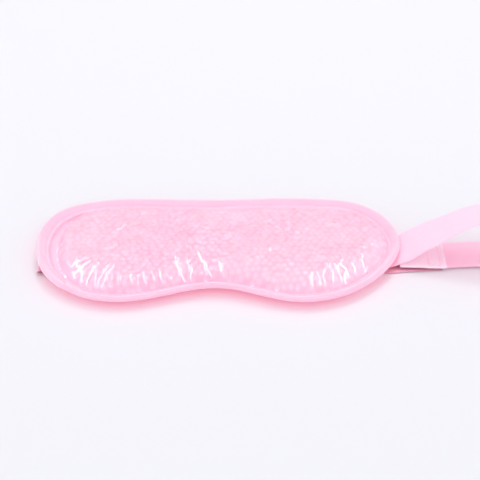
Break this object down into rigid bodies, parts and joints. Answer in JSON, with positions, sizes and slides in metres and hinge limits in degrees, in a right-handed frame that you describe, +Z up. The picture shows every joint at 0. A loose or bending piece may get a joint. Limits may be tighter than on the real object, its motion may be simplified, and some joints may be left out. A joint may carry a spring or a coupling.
{
  "type": "gel bead eye pillow",
  "caption": "Cold or warm gel-bead eye pillow: film-faced bead pack on a plush back with bound edge and a hook-and-loop elastic head strap.",
  "frame": {"origin": "middle of the mask on the surface it rests on", "axes": "+X along the mask to the end where the elastic strap leaves, +Y to the forehead edge, +Z up out of the gel face"},
  "size_m": [0.2707, 0.0883, 0.0319],
  "materials": {
    "clear_film": "clear glossy vinyl film",
    "gel_beads": "wet translucent gel beads",
    "plush": "short napped plush",
    "binding_fabric": "brushed knit binding tape",
    "thread": "polyester sewing thread",
    "elastic_webbing": "smooth knitted elastic",
    "hook_tape": "woven nylon hook tape",
    "loop_tape": "napped loop pile"
  },
  "bodies": {
    "mask": {"front_film": "clear_film", "back_film": "clear_film", "gel_bead_fill": "gel_beads", "plush_back_panel": "plush", "edge_binding": "binding_fabric", "binding_needle_thread": "thread", "binding_bobbin_thread": "thread", "elastic_strap_sewn_end": "elastic_webbing", "elastic_strap_bar_tack": "thread", "loop_strap_sewn_end": "loop_tape", "loop_strap_bar_tack": "thread"},
    "elastic_strap": {"elastic_strap": "elastic_webbing"},
    "closure_end": {"elastic_strap_free_end": "elastic_webbing", "hook_tape": "hook_tape", "hook_tape_box_stitch": "thread"},
    "loop_strap": {"loop_strap": "loop_tape"}
  },
  "joints": [
    {"name": "elastic_strap_swing", "type": "hinge", "parent": "mask", "child": "elastic_strap", "pos_m": [0.1026, 0, 0.00605], "axis": [0, -1, 0], "range_deg": [0, 95]},
    {"name": "loop_strap_swing", "type": "hinge", "parent": "mask", "child": "loop_strap", "pos_m": [-0.096, -0.0045, 0.0027], "axis": [0, 1, 0], "range_deg": [0, 175]},
    {"name": "closure_adjust", "type": "slide", "parent": "elastic_strap", "child": "closure_end", "axis": [1, 0, 0], "range_m": [0, 0.012]}
  ]
}
